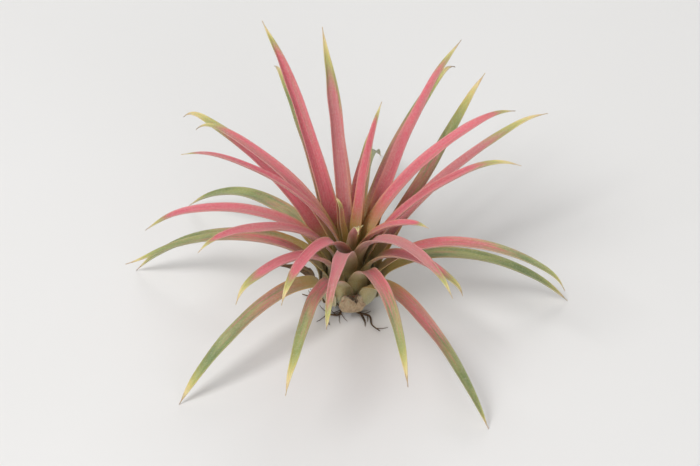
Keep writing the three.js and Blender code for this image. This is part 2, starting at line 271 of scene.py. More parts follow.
# The studio: metres, watts and degrees. The camera has the photograph's angle and distance, with a
# longer lens, so that the one plant fills the frame.
FLOOR_REACH = 3
LIGHTS = dict(
    key=dict(place=(-0.7, -0.6, 1.35), size=0.6, power=17),
    front=dict(place=(0.5, -1.5, 0.7), size=1.2, power=8),
    back=dict(place=(0.2, 1.3, 1.2), size=1.0, power=7),
)
LIT_POINT = (0, 0, 0.04)
SKY_COLOUR = (1, 1, 1, 1)
SKY_STRENGTH = 0.36
VIEWED_POINT = (0, -0.004, 0.036)
VIEW_ELEVATION = 43.5
VIEW_DISTANCE = 1.09
SENSOR_WIDTH = 36  # in millimetres, as the lens
LENS = 168


def mix(low, high, share):
    return low + (high - low) * share


def ramp(x, start, end):
    """0 before start, 1 after end, and a smooth rise between them. x may be an array."""
    share = np.clip((x - start) / (end - start), 0, 1)
    return share * share * (3 - 2 * share)


def unit(vectors):
    return vectors / np.maximum(np.linalg.norm(vectors, axis=-1, keepdims=True), 1e-9)


def seed_of(seeds, number):
    first, apart = seeds
    return first + apart * number


def draws(seed):
    """A run of even draws between 0 and 1, the same each time for the same seed."""
    state = seed

    def draw():
        nonlocal state
        state = (state * 1664525 + 1013904223) % 4294967296
        return state / 4294967296

    for _ in range(4):
        draw()
    return draw


def wander(values, number, swings):
    """Smooth noise from -1 to 1 along an array of values, different for each number."""
    row = number * NOISE_SPACING
    return np.array([noise.noise(Vector((float(v) * swings, row, NOISE_ROW))) for v in values])


def leaf_plan(index):
    """What sets a leaf's form, from its place on the spiral. age runs from 0 at the heart to 1."""
    draw = draws(seed_of(FORM_SEEDS, index))
    age = index / (LEAVES - 1)
    azimuth = (FIRST_AZIMUTH + GOLDEN_ANGLE * index) % 360
    grown = ramp(index, *GROWN)
    nod = -TILT * math.sin(math.radians(azimuth)) * (1 - age**3)
    plan = dict(
        age=age,
        azimuth=azimuth,
        seat_lean=mix(*SEAT_LEAN, age),
        neck_lean=mix(*NECK_LEAN, age**1.1),
        neck_radius=mix(*NECK_RADIUS, age),
        neck_height=mix(*NECK_HEIGHT, age),
        power=mix(*TURN_POWER, age),
        lean=mix(*BLADE_LEAN, age**0.9) + nod + mix(-LEAN_SPREAD, LEAN_SPREAD, draw()),
        length=BLADE_LENGTH * grown * mix(1, OLD_SHARE, age**2) * mix(*LENGTH_SPREAD, draw()),
        width=BLADE_WIDTH * mix(YOUNG_SHARE, 1, grown) * mix(*WIDTH_SPREAD, draw()),
        hook=HOOK_SPREAD * draw() ** 2,
        bend=mix(-BEND_SPREAD, BEND_SPREAD, draw()),
        twist=mix(-TWIST_SPREAD, TWIST_SPREAD, draw()),
        curl=mix(*CURL, draw()) * ramp(index, *CURLED),
        sway=mix(-SWAY, SWAY, draw()),
        thin=1,
    )
    if index in SEEN:
        plan.update(SEEN[index])
        plan["bend"] = SEEN[index].get("bend", 0)
        plan["hook"] *= SEEN_HOOK
        plan["sway"] *= SEEN_HOOK
    if index >= LEAVES - RESTING_LEAVES:
        rest(plan)
    return plan


def dry_plan(index):
    """A withered stub: the last bit of sheath and a short torn blade."""
    plan = leaf_plan(index)
    plan.update(lean=plan["neck_lean"] + DRY_DROOP, length=DRY_LENGTH, width=DRY_WIDTH)
    plan.update(hook=HOOK_SPREAD / 2, curl=0, thin=DRY_SHARE)
    return plan


def rest(plan):
    """Lowers an old leaf until its tip touches the surface."""
    plan.update(hook=0, curl=0, power=REST_POWER)
    low, high = REST_LEAN
    for _ in range(HALVINGS):
        plan["lean"] = (low + high) / 2
        tip_height = blade_line(plan, BLADE_STEPS)[-1][1]
        if tip_height > TIP_HEIGHT:
            low = plan["lean"]
        else:
            high = plan["lean"]


def sheath_line(plan, steps):
    """Stations (out from the axis, up, lean in radians, along) from the seat to just before the neck.
    along runs from -1 at the seat through 0 at the neck to 1 at the tip."""
    seat = HEAD_RADIUS + SEAT_GAP
    seat_lean = math.radians(plan["seat_lean"])
    neck_lean = math.radians(plan["neck_lean"])
    foot = Vector((seat * math.sin(seat_lean), HEAD_HEIGHT + seat * math.cos(seat_lean)))
    neck = Vector((plan["neck_radius"], plan["neck_height"]))
    pull = SHEATH_PULL * (neck - foot).length
    leave = foot + pull * Vector((math.sin(seat_lean), math.cos(seat_lean)))
    arrive = neck - pull * Vector((math.sin(neck_lean), math.cos(neck_lean)))
    line = []
    for step in range(steps):
        t = step / steps
        s = 1 - t
        point = s**3 * foot + 3 * s * s * t * leave + 3 * s * t * t * arrive + t**3 * neck
        slope = s * s * (leave - foot) + 2 * s * t * (arrive - leave) + t * t * (neck - arrive)
        line.append((point.x, point.y, math.atan2(slope.x, slope.y), t - 1))
    return line


def blade_line(plan, steps):
    """Stations from the neck to the tip, closer together towards the tip."""
    turn = (plan["lean"] - plan["neck_lean"]) * (plan["power"] + 1)

    def lean_at(u):
        curls = plan["hook"] * ramp(u, HOOK_START, 1) + plan["curl"] * ramp(u, *CURL_ALONG)
        return math.radians(plan["neck_lean"] + turn * u ** plan["power"] + curls)

    def along(step):
        return 1 - (1 - step / steps) ** CROWDING

    line = []
    out, up = plan["neck_radius"], plan["neck_height"]
    for step in range(steps + 1):
        here = along(step)
        line.append((out, up, lean_at(here), here))
        if step == steps:
            break
        stride = (along(step + 1) - here) / SUBSTEPS
        for part in range(SUBSTEPS):
            lean = lean_at(here + (part + 0.5) * stride)
            out += plan["length"] * stride * math.sin(lean)
            up += plan["length"] * stride * math.cos(lean)
    return line


def half_width(plan, along, out):
    to_tip = np.clip(1 - along, 0, 1)
    reach = mix(*REACH_ROUND, ramp(plan["age"], 0, HEART_AGE)) * out
    blade = plan["width"] / 2 * to_tip**TAPER * (1 - np.exp(-to_tip / POINT))
    blade = np.maximum(np.minimum(blade, reach), TIP_WIDTH / 2)
    sheath = SHEATH_WIDTH / 2 * mix(HEART_SHARE, 1, min(plan["age"], 1) ** 0.6)
    sheath = np.minimum(mix(sheath, plan["width"] / 2, ramp(along, -NARROWING, 0)), reach)
    sheath = sheath * mix(SEAT_SHARE, 1, ramp(along, -1, SEAT_END))
    return np.where(along >= 0, blade, sheath)


def cross_curvature(along, out, lean, half):
    """How sharply the leaf bends across: round the bulb in its sheath, and in a channel along its blade."""
    round_bulb = np.maximum(np.cos(lean) / np.maximum(out, 1), LEAST_BEND)
    channel = mix(*CHANNEL, np.clip(along, 0, 1)) / np.maximum(half, CHANNEL_HALF)
    return mix(round_bulb, channel, ramp(along, 0, CHANNEL_START))


def leaf_axes(plan, number, out, up, along):
    """The middle of each station, and the ways across the leaf there and up from its upper face."""
    blade = np.clip(along, 0, 1)
    free = ramp(along, *FREE)
    azimuth = math.radians(plan["azimuth"])
    outward = np.array((math.cos(azimuth), math.sin(azimuth), 0))
    sideways = np.array((-math.sin(azimuth), math.cos(azimuth), 0))
    upright = np.array((0, 0, 1))
    drift = math.tan(math.radians(plan["bend"]))
    swing = plan["sway"] * plan["length"] / BLADE_LENGTH

    middle = out[:, None] * outward + up[:, None] * upright
    middle += (drift * plan["length"] * blade**2)[:, None] * sideways
    middle += (WANDER * free * wander(along, number + SWAYING, WANDER_SWINGS))[:, None] * sideways
    middle += (swing * blade**3)[:, None] * sideways
    ahead = unit(np.gradient(middle, axis=0))
    across = unit(sideways - (ahead @ sideways)[:, None] * ahead)
    upper = np.cross(ahead, across)
    turn = TWIST_WANDER * free * wander(along, number + TWISTING, TWIST_SWINGS)
    twist = np.radians(plan["twist"] * blade + turn)[:, None]
    turned_across = across * np.cos(twist) + upper * np.sin(twist)
    turned_upper = upper * np.cos(twist) - across * np.sin(twist)
    return middle, turned_across, turned_upper


def ring_places():
    """Points round a leaf: its upper face, one edge, its lower face and the other edge. Each has a place
    across the leaf from -1 to 1, a side from 1 above to -1 below, and how far it goes round an edge."""
    face = np.linspace(-1, 1, PLACES)
    turn = np.linspace(0, math.pi, RIM + 2)[1:-1]
    place = np.concatenate([face, np.ones(RIM), -face, -np.ones(RIM)])
    side = np.concatenate([np.ones(PLACES), np.cos(turn), -np.ones(PLACES), -np.cos(turn)])
    beyond = np.concatenate([np.zeros(PLACES), np.sin(turn), np.zeros(PLACES), -np.sin(turn)])
    return place, side, beyond


def half_thickness(plan, along, place, rim_radius):
    """From the leaf's middle to its skin: thinner towards the edges and the tip, with ridges for veins."""
    taper = mix(BLADE_THICKNESS, TIP_THICKNESS, np.clip(along, 0, 1) ** THINNING)
    taper = taper * mix(1, POINT_SHARE, ramp(along, POINT_START, 1))
    thick = mix(SHEATH_THICKNESS, taper, ramp(along, 0, CHANNEL_START))[:, None] * plan["thin"]
    depth = mix(thick / 2, np.minimum(thick / 2, rim_radius[:, None]), np.abs(place) ** EDGE_POWER)
    furrows = 0.5 + 0.5 * np.cos(place * math.pi * VEINS)
    fade = (ramp(along, *VEIN_START) * ramp(1 - along, *VEIN_END))[:, None] * (1 - place**VEIN_FADE)
    return depth - VEIN_HEIGHT * furrows * fade


def edge_waves(plan, number, along, place, half):
    """How far the skin rises and falls as the two edges wave."""
    travelled = along * plan["length"]
    left = wander(travelled, number + LEFT_WAVES, EDGE_SWINGS)[:, None] * np.clip(place, 0, 1) ** 2
    right = wander(travelled, number + RIGHT_WAVES, EDGE_SWINGS)[:, None] * np.clip(-place, 0, 1) ** 2
    return EDGE_WAVES * (ramp(along, *FREE) * ramp(half, *WAVED_HALF))[:, None] * (left + right)


def leaf_rings(plan, number):
    """Rings of points round the leaf, from its seat to its tip, and where each point lies on the leaf."""
    line = np.array(sheath_line(plan, SHEATH_STEPS) + blade_line(plan, BLADE_STEPS))
    out, up, lean, along = line.T
    middle, across, upper = leaf_axes(plan, number, out, up, along)
    place, side, beyond = ring_places()
    wider = WIDTH_WANDER * ramp(along, *FREE) * wander(along, number + WIDENING, WIDTH_SWINGS)
    full_half = half_width(plan, along, out) * (1 + wider)
    rim_radius = np.minimum(EDGE_THICKNESS / 2, ROUND_SHARE * full_half)
    half = full_half - rim_radius
    bent = cross_curvature(along, out, lean, full_half)
    angle = (half * bent)[:, None] * place
    bent = bent[:, None]

    def spread(vectors, amounts):
        return vectors[:, None, :] * amounts[:, :, None]

    normal = spread(upper, np.cos(angle)) - spread(across, np.sin(angle))
    edgeways = spread(across, np.cos(angle)) + spread(upper, np.sin(angle))
    raised = side * half_thickness(plan, along, place, rim_radius)
    raised = raised + edge_waves(plan, number, along, place, half)
    points = middle[:, None, :] + spread(across, np.sin(angle) / bent)
    points = points + spread(upper, (1 - np.cos(angle)) / bent)
    points = points + normal * raised[:, :, None]
    points = points + edgeways * (beyond * rim_radius[:, None])[:, :, None]

    strides = np.linalg.norm(np.diff(middle, axis=0), axis=1)
    travelled = np.concatenate([[0], np.cumsum(strides)])
    travelled -= travelled[SHEATH_STEPS]  # counted from the neck
    shape = np.ones_like(angle)
    facts = dict(
        along=along[:, None] * shape,
        across=place * shape,
        upper=side * shape,
        skin_x=(half + rim_radius)[:, None] * place,
        skin_y=travelled[:, None] * shape,
    )
    return points, facts


def stand_scales(rings, share, seed):
    """Small closed spikes on a blade, pointing to its tip: their places in the rings, and their corners.
    share is the blade's share of a full length."""
    luck = np.random.default_rng(seed)
    count = int(SCALES * share)
    stations, size, _ = rings.shape
    station = luck.integers(SHEATH_STEPS + BARE_STEPS, stations - 1, count)
    rim = np.concatenate([np.arange(PLACES - 1, PLACES + RIM), np.arange(size - RIM - 1, size)])
    on_edge = luck.random(count) < EDGE_SCALES
    column = np.where(on_edge, luck.choice(rim, count), luck.integers(0, size, count))
    corner = rings[station, column]
    across = rings[station, (column + 1) % size] - corner
    ahead = rings[station + 1, column] - corner
    root = corner + across * luck.random((count, 1)) + ahead * luck.random((count, 1))
    across, ahead = unit(across), unit(ahead)
    outward = unit(np.cross(ahead, across))
    lift = luck.uniform(*SCALE_LIFT, (count, 1))
    sway = luck.uniform(-SCALE_SWAY, SCALE_SWAY, (count, 1))
    point = unit(ahead + lift * outward + sway * across) * luck.uniform(*SCALE_LENGTH, (count, 1))
    sunk = root - SCALE_ROOT * outward
    half = SCALE_WIDTH / 2
    corners = [sunk + half * across, sunk - half * across, sunk + half * ahead, root + point]
    return station, column, np.stack(corners, 1)


def skin_faces(stations, size):
    """Faces between rings of points, and a fan at each end round one of two points that follow the rings."""
    near = np.arange(stations - 1)[:, None] * size + np.arange(size)
    beside = np.arange(stations - 1)[:, None] * size + np.roll(np.arange(size), -1)
    faces = np.stack([near, near + size, beside + size, beside], -1).reshape(-1, 4).tolist()
    first = stations * size
    last = first + 1
    for k in range(size):
        after = (k + 1) % size
        faces.append([first, k, after])
        faces.append([last, first - size + after, first - size + k])
    return faces


def skin_mesh(name, rings, facts, constants, scales=None):
    """A closed mesh through rings of points. facts hold a number for each point, constants one for all."""
    stations, size, _ = rings.shape
    start = rings[0].mean(0)
    end = rings[-1].mean(0) * 2 - rings[-2].mean(0)
    points = [rings.reshape(-1, 3), start[None], end[None]]
    faces = skin_faces(stations, size)
    columns = {}
    for key, values in facts.items():
        columns[key] = [values.reshape(-1), [values[0].mean(), values[-1].mean()]]
    if scales:
        station, column, corners = scales
        count, each, _ = corners.shape
        skin_points = stations * size + 2
        points.append(corners.reshape(-1, 3))
        first_corners = skin_points + each * np.arange(count)[:, None, None]
        faces += (first_corners + np.array(SCALE_FACES)).reshape(-1, 3).tolist()
        for key, values in facts.items():
            columns[key].append(np.repeat(values[station, column], each))
        columns["silver"] = [np.zeros(skin_points), np.ones(each * count)]
    points = np.concatenate(points) * MM
    mesh = bpy.data.meshes.new(name)
    mesh.from_pydata(points.tolist(), [], faces)
    mesh.shade_smooth()
    for key, value in constants.items():
        columns[key] = [np.full(len(points), value)]
    for key, runs in columns.items():
        attribute = mesh.attributes.new(key, "FLOAT", "POINT")
        attribute.data.foreach_set("value", np.concatenate(runs).astype(np.float32))
    mesh.validate()
    return mesh


def add_piece(name, mesh, material, node):
    piece = bpy.data.objects.new(name, mesh)
    bpy.context.scene.collection.objects.link(piece)
    mesh.materials.append(material)
    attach(piece, "root")
    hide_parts(node)


def linear(red, green, blue):
    """A colour given as on a screen, 0 to 255, in Blender's own linear values."""
    channels = [c / 255 for c in (red, green, blue)]
    return tuple(c / 12.92 if c <= 0.04045 else ((c + 0.055) / 1.055) ** 2.4 for c in channels) + (1.0,)


class Paint:
    """A node material under construction. Its methods take and return sockets or plain values."""

    def __init__(self, name):
        self.material = bpy.data.materials.new(name)
        self.material.use_nodes = True
        self.nodes = self.material.node_tree.nodes
        self.links = self.material.node_tree.links
        self.shader = self.nodes["Principled BSDF"]

    def set(self, socket, value):
        if isinstance(value, bpy.types.NodeSocket):
            self.links.new(value, socket)
        else:
            socket.default_value = value

    def fact(self, name):
        """A number that the mesh holds for each point."""
        node = self.nodes.new("ShaderNodeAttribute")
        node.attribute_name = name
        return node.outputs["Fac"]

    def place(self):
        """Where a point lies in the object's own frame, in metres."""
        return self.nodes.new("ShaderNodeTexCoord").outputs["Object"]

    def math(self, operation, *values):
        node = self.nodes.new("ShaderNodeMath")
        node.operation = operation
        for socket, value in zip(node.inputs, values):
            self.set(socket, value)
        return node.outputs[0]

    def add(self, a, b):
        return self.math("ADD", a, b)

    def less(self, a, b):
        return self.math("SUBTRACT", a, b)

    def times(self, a, b):
        return self.math("MULTIPLY", a, b)

    def vector(self, x, y, z):
        node = self.nodes.new("ShaderNodeCombineXYZ")
        for socket, value in zip(node.inputs, (x, y, z)):
            self.set(socket, value)
        return node.outputs[0]

    def rise(self, value, start, end, low=0.0, high=1.0):
        """low before start, high after end, smooth between them."""
        node = self.nodes.new("ShaderNodeMapRange")
        node.interpolation_type = "SMOOTHSTEP"
        self.set(node.inputs["Value"], value)
        self.set(node.inputs["From Min"], start)
        self.set(node.inputs["From Max"], end)
        self.set(node.inputs["To Min"], low)
        self.set(node.inputs["To Max"], high)
        return node.outputs["Result"]

    def noise(self, vector, scale=1.0, detail=3.0, rough=0.5):
        node = self.nodes.new("ShaderNodeTexNoise")
        self.set(node.inputs["Vector"], vector)
        node.inputs["Scale"].default_value = scale
        node.inputs["Detail"].default_value = detail
        node.inputs["Roughness"].default_value = rough
        return node.outputs["Fac"]

    def cells(self, vector):
        """The distance to the nearest of many scattered points."""
        node = self.nodes.new("ShaderNodeTexVoronoi")
        self.set(node.inputs["Vector"], vector)
        node.inputs["Scale"].default_value = 1.0
        return node.outputs["Distance"]

    def blend(self, share, a, b, kind="MIX"):
        """One colour into another, by share."""
        node = self.nodes.new("ShaderNodeMix")
        node.data_type = "RGBA"
        node.blend_type = kind
        first, second = node.inputs[6:8]  # the two that take colours
        self.set(node.inputs["Factor"], share)
        self.set(first, a)
        self.set(second, b)
        return node.outputs[2]  # the one that gives a colour

    def bump(self, height, distance, strength):
        node = self.nodes.new("ShaderNodeBump")
        node.inputs["Distance"].default_value = distance
        node.inputs["Strength"].default_value = strength
        self.set(node.inputs["Height"], height)
        return node.outputs["Normal"]

    def finish(self, colour, roughness, normal, constants):
        self.set(self.shader.inputs["Base Color"], colour)
        self.set(self.shader.inputs["Roughness"], roughness)
        self.set(self.shader.inputs["Normal"], normal)
        for name, value in constants.items():
            self.shader.inputs[name].default_value = value
        return self.material


def on_skin(p, skin, across, along, shift=0):
    """A place on the leaf for a pattern with so many spots in a millimetre, across the leaf and along it."""
    return p.vector(p.times(skin.x, across), p.times(skin.y, along), p.add(skin.depth, shift))


def living_skin(p):
    """Where a point lies on a living leaf, and the patterns in the leaf's skin."""
    skin = SimpleNamespace(
        along=p.fact("along"),
        upper=p.fact("upper"),
        edge=p.math("ABSOLUTE", p.fact("across")),
        x=p.fact("skin_x"),
        y=p.fact("skin_y"),
        luck=p.fact("luck"),
    )
    skin.depth = p.add(p.times(skin.luck, LEAF_PATTERNS), p.times(skin.upper, FACE_PATTERNS))
    skin.streaks = p.noise(on_skin(p, skin, 1.6, 0.07), detail=4.0, rough=0.6)
    skin.uneven = p.add(skin.streaks, -0.5)
    skin.clouds = p.noise(on_skin(p, skin, 0.25, 0.06), detail=2.0)
    skin.bands = p.noise(on_skin(p, skin, 0.42, 0.02, shift=BAND_PATTERNS), detail=2.0)
    skin.mottle = p.noise(p.vector(skin.x, skin.y, skin.depth), scale=1.3)
    return skin


def blush(p, skin):
    """Deep red near the neck, pink further out, and duller on some leaves. Broad bands run along it,
    some redder and some greyer."""
    colour = p.blend(p.rise(skin.y, *RED_TO_PINK), linear(176, 76, 54), linear(217, 88, 110))
    colour = p.blend(p.rise(skin.clouds, 0.35, 0.7, 0.0, 0.4), colour, linear(212, 104, 108))
    colour = p.blend(p.times(p.fact("mauve"), 0.65), colour, linear(168, 110, 107))
    colour = p.blend(p.rise(skin.bands, 0.5, 0.66, 0.0, 0.5), colour, linear(178, 62, 72))
    return p.blend(p.rise(skin.bands, 0.34, 0.48, 0.5, 0.0), colour, linear(186, 128, 116))


def blade_colour(p, skin):
    """Pink, or green further down the plant and out along a leaf, with darker red streaks and pale edges."""
    greener = p.add(p.fact("green"), p.times(skin.uneven, 0.9))
    greener = p.add(greener, p.rise(skin.along, 0.3, 0.95, -0.12, 0.3))
    green_share = p.rise(greener, 0.3, 0.75)
    leaf_green = p.blend(p.rise(skin.clouds, 0.35, 0.65), linear(98, 124, 58), linear(146, 156, 84))
    colour = p.blend(green_share, blush(p, skin), leaf_green)
    streaks = p.rise(skin.streaks, 0.55, 0.75, 0.0, 0.25)
    colour = p.blend(streaks, colour, linear(150, 58, 66), "MULTIPLY")

    # The edges are golden towards the neck
    far_rim = p.blend(green_share, linear(228, 170, 160), linear(186, 186, 128))
    rim = p.blend(p.rise(skin.y, *GOLD_TO_PALE_EDGE), linear(196, 146, 66), far_rim)
    rim_share = p.rise(skin.y, *GOLD_TO_PALE_EDGE, 0.6, 0.24)
    return p.blend(p.times(p.rise(skin.edge, 0.74, 1.0), rim_share), colour, rim)


def neck_colour(p, skin, colour):
    """Olive at the neck, which climbs further up some leaves, and a pale green sheath, tan at its seat."""
    first_end, last_end = OLIVE_END
    past_neck = p.add(skin.y, p.times(skin.uneven, 9))
    olive = p.blend(skin.streaks, linear(146, 128, 32), linear(190, 168, 66))
    olive_end = p.add(p.times(skin.luck, last_end - first_end), first_end)
    colour = p.blend(p.rise(past_neck, 0, olive_end, 1.0, 0.0), colour, olive)
    sheath = p.blend(skin.streaks, linear(136, 146, 82), linear(184, 184, 126))
    colour = p.blend(p.rise(past_neck, *SHEATH_TO_OLIVE, 1.0, 0.0), colour, sheath)
    colour = p.blend(p.rise(past_neck, *SEAT_TO_SHEATH, 0.7, 0.0), colour, linear(196, 172, 134))
    margin = p.times(p.rise(skin.edge, 0.8, 1.0), p.rise(skin.y, *PALE_MARGIN_END, 0.5, 0.0))
    return p.blend(margin, colour, linear(208, 196, 156))


def tip_colour(p, skin, colour):
    """Green, yellow, cream, and a dry point that is brown on some leaves. The edges turn first."""
    to_tip = p.less(1.0, p.add(skin.along, p.times(skin.uneven, 0.1)))
    to_tip = p.math("DIVIDE", to_tip, p.fact("tip"))
    to_tip = p.less(to_tip, p.times(p.math("POWER", skin.edge, 3.0), 0.18))
    colour = p.blend(p.rise(to_tip, 0.6, 1.3, 0.9, 0.0), colour, linear(150, 160, 84))
    colour = p.blend(p.rise(to_tip, 0.3, 0.9, 0.9, 0.0), colour, linear(194, 188, 94))
    colour = p.blend(p.rise(to_tip, 0.06, 0.6, 0.9, 0.0), colour, linear(230, 206, 148))
    dry = p.blend(p.rise(skin.luck, 0.3, 0.8), linear(206, 174, 124), linear(150, 108, 70))
    return p.blend(p.rise(to_tip, 0.0, 0.12, 0.85, 0.0), colour, dry)


def leaf_paint():
    """Living leaf: olive at the neck, pink along the blade, yellow-green to cream at the tip."""
    p = Paint("living_leaf")
    skin = living_skin(p)
    colour = blade_colour(p, skin)
    colour = neck_colour(p, skin, colour)
    colour = tip_colour(p, skin, colour)

    # Underside greyer, veins faintly darker
    colour = p.blend(p.rise(skin.upper, -0.6, 0.4, 0.35, 0.0), colour, linear(156, 140, 116))
    crooked = p.add(skin.x, p.times(p.add(skin.mottle, -0.5), 0.3))
    veins = p.math("SINE", p.times(crooked, PAINTED_VEINS))
    colour = p.blend(p.rise(veins, 0.2, 1.0, 0.0, 0.14), colour, linear(120, 52, 52))

    # Silvery scales: a bloom all over, and bright specks in rows
    silver = linear(220, 210, 198)
    bloom = p.rise(skin.y, *THICK_BLOOM_END, 0.2, 0.11)
    bloom = p.times(bloom, p.rise(skin.mottle, 0.3, 0.75, 0.5, 1.3))
    colour = p.blend(bloom, colour, silver)
    specks = p.rise(p.cells(on_skin(p, skin, 3.4, 2.2)), 0.18, 0.4, 0.3, 0.0)
    colour = p.blend(p.times(specks, p.rise(skin.mottle, 0.3, 0.6, 0.4, 1.0)), colour, silver)

    # A few brown flecks, and the standing scales, which are brightest
    flecks = p.rise(p.cells(on_skin(p, skin, 0.5, 0.16)), 0.03, 0.07, 0.6, 0.0)
    colour = p.blend(flecks, colour, linear(124, 84, 58))
    colour = p.blend(p.times(p.fact("silver"), 0.6), colour, linear(232, 222, 208))

    relief = p.add(p.times(specks, 0.9), p.times(veins, 0.35))
    relief = p.add(relief, p.times(skin.mottle, 0.5))
    constants = {
        "Sheen Weight": 0.18,
        "Sheen Roughness": 0.4,
        "Subsurface Weight": 0.12,
        "Subsurface Scale": 0.002,
        "Specular IOR Level": 0.42,
    }
    roughness = p.rise(skin.mottle, 0.3, 0.7, 0.46, 0.62)
    return p.finish(colour, roughness, p.bump(relief, 0.00005, 0.8), constants)


def dry_paint():
    """Withered leaf: thin brown paper with some silver left, darker where it tore."""
    p = Paint("dry_leaf")
    depth = p.times(p.fact("luck"), LEAF_PATTERNS)
    skin = SimpleNamespace(x=p.fact("skin_x"), y=p.fact("skin_y"), depth=depth)
    place = p.vector(skin.x, skin.y, skin.depth)
    fibres = p.noise(on_skin(p, skin, 2.4, 0.12), detail=4.0, rough=0.6)
    blotches = p.noise(place, scale=0.4)
    specks = p.noise(place, scale=2.6)
    colour = p.blend(p.rise(fibres, 0.25, 0.75), linear(150, 122, 90), linear(186, 162, 126))
    colour = p.blend(p.rise(blotches, 0.42, 0.68, 0.0, 0.6), colour, linear(122, 92, 64))
    colour = p.blend(p.rise(specks, 0.45, 0.7, 0.0, 0.45), colour, linear(204, 194, 176))
    colour = p.blend(p.rise(p.fact("along"), 0.5, 1.0, 0.0, 0.6), colour, linear(110, 82, 56))
    relief = p.add(fibres, p.times(specks, 0.6))
    constants = {
        "Sheen Weight": 0.15,
        "Subsurface Weight": 0.1,
        "Subsurface Scale": 0.001,
        "Specular IOR Level": 0.3,
    }
    roughness = p.rise(blotches, 0.3, 0.7, 0.7, 0.9)
    return p.finish(colour, roughness, p.bump(relief, 0.0002, 0.8), constants)


def bark_paint():
    """Corky stem and wiry roots."""
    p = Paint("bark")
    grain = p.noise(p.place(), scale=900.0, detail=5.0, rough=0.65)
    patches = p.noise(p.place(), scale=220.0)
    colour = p.blend(p.rise(grain, 0.3, 0.7), linear(58, 42, 30), linear(112, 88, 64))
    colour = p.blend(p.rise(patches, 0.5, 0.7, 0.0, 0.6), colour, linear(138, 118, 92))
    roughness = p.rise(patches, 0.3, 0.7, 0.75, 0.95)
    return p.finish(colour, roughness, p.bump(grain, 0.0004, 0.9), {"Specular IOR Level": 0.25})


def floor_paint():
    p = Paint("floor")
    haze = p.noise(p.place(), scale=6.0, detail=2.0)
    colour = p.blend(haze, linear(222, 221, 219), linear(228, 227, 226))
    return p.finish(colour, 0.6, p.bump(p.noise(p.place(), scale=400.0), 0.0001, 0.2), {})


def make_leaves():
    living = leaf_paint()
    for index in range(LEAVES):
        plan = leaf_plan(index)
        draw = draws(seed_of(LOOK_SEEDS, index))
        rings, facts = leaf_rings(plan, index + LEAVES_APART * draw())
        usual = dict(
            green=mix(*GREEN, plan["age"] ** GREEN_POWER) + mix(-GREEN_SPREAD, GREEN_SPREAD, draw()),
            tip=mix(*PALE_TIP, draw()),
            luck=draw(),
            mauve=draw() ** 2,
        )
        constants = {key: plan.get(key, value) for key, value in usual.items()}
        scales = stand_scales(rings, plan["length"] / BLADE_LENGTH, seed_of(SCALE_SEEDS, index))
        node = f"leaf_{index + 1:02d}"
        mesh = skin_mesh("skin_" + node, rings, facts, constants, scales)
        add_piece("skin_" + node, mesh, living, node)


def wither(rings, facts, number):
    """Tears a stub unevenly from edge to edge, into strips, and crumples its skin."""
    travelled = facts["skin_y"][:, 0] - facts["skin_y"][0, 0]
    torn = np.empty_like(rings)
    for k, place in enumerate(facts["across"][0]):
        tear = abs(math.sin(TEARS * place + number)) ** TEAR_POWER
        kept = 1 - TORN * tear - RAGGED * noise.noise(Vector((place * RAGS, number, 0)))
        for axis in range(3):
            torn[:, k, axis] = np.interp(travelled * kept, travelled, rings[:, k, axis])
    loose = CRUMPLE * ramp(travelled, *CRUMPLED)
    for station, ring in enumerate(torn):
        for k, point in enumerate(ring):
            crease = np.array(noise.noise_vector(Vector(point) * CREASES))
            torn[station, k] = point + loose[station] * crease
    return torn


def make_dry_leaves():
    withered = dry_paint()
    noise.seed_set(CREASE_SEED)
    for number in range(DRY_LEAVES):
        index = LEAVES + number
        rings, facts = leaf_rings(dry_plan(index), index + STUBS_APART)
        rings = wither(rings, facts, index * TEAR_SPACING)
        node = f"dry_leaf_{number + 1}"
        mesh = skin_mesh("skin_" + node, rings, facts, dict(luck=number / DRY_LEAVES))
        add_piece("skin_" + node, mesh, withered, node)


def root_path(knots, steps):
    """Points along the centripetal Catmull-Rom curve through the knots."""
    ends = [2 * knots[0] - knots[1], *knots, 2 * knots[-1] - knots[-2]]
    points = []
    for step in range(steps + 1):
        place = step / steps * (len(knots) - 1)
        k = min(int(place), len(knots) - 2)
        t = place - k
        a, b, c, d = ends[k : k + 4]
        before, here, after = [(q - r).length ** 0.5 for q, r in ((b, a), (c, b), (d, c))]
        start = ((b - a) / before - (c - a) / (before + here) + (c - b) / here) * here
        end = ((c - b) / here - (d - b) / (here + after) + (d - c) / after) * here
        square = (3 * (c - b) - 2 * start - end) * t**2
        cube = (2 * (b - c) + start + end) * t**3
        points.append(b + start * t + square + cube)
    return points


def tube_rings(path, radii, sides, number):
    """Rings round a path, a little rough, each number in its own way."""
    fast_along, fast_round = ROOT_KNOBS
    rings = []
    for step, (point, radius) in enumerate(zip(path, radii)):
        ahead = (path[min(step + 1, len(path) - 1)] - path[max(step - 1, 0)]).normalized()
        across = Vector((0, 0, 1)).cross(ahead).normalized()
        upper = ahead.cross(across)
        ring = []
        for side in range(sides):
            angle = math.pi - side * 2 * math.pi / sides
            knob = noise.noise(Vector((step * fast_along, side * fast_round, number)))
            rough = radius * (1 + ROOT_ROUGHNESS * knob)
            ring.append(point + rough * (math.cos(angle) * across + math.sin(angle) * upper))
        rings.append(ring)
    return np.array(rings)


